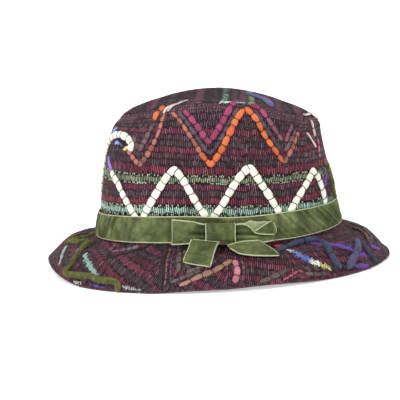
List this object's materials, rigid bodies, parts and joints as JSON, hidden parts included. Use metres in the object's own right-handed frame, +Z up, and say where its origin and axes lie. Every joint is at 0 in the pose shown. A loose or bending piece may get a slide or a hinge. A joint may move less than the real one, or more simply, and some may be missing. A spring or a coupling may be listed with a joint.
{
  "type": "traveller hat",
  "caption": "Soft woven hat with a tapered crown, a sloping brim, and a velvet ribbon band tied in a flat bow at the side.",
  "frame": {"origin": "on the surface that the brim rests on, under the middle of the hat's box", "axes": "+Z up, the front of the hat points to -X, and the bow is on the -Y side, the wearer's left"},
  "size_m": [0.2918, 0.2522, 0.1437],
  "materials": {
    "woven_cloth": "matt ribbed wool weave in maroon and charcoal stripes",
    "velvet_ribbon": "moss green velvet with pale selvedges"
  },
  "bodies": {
    "root": {"brim": "woven_cloth", "crown_side": "woven_cloth", "crown_tip": "woven_cloth", "ribbon_band": "velvet_ribbon", "bow_loop_left": "velvet_ribbon", "bow_loop_right": "velvet_ribbon", "bow_knot": "velvet_ribbon", "bow_tail_left": "velvet_ribbon", "bow_tail_right": "velvet_ribbon"}
  },
  "joints": []
}
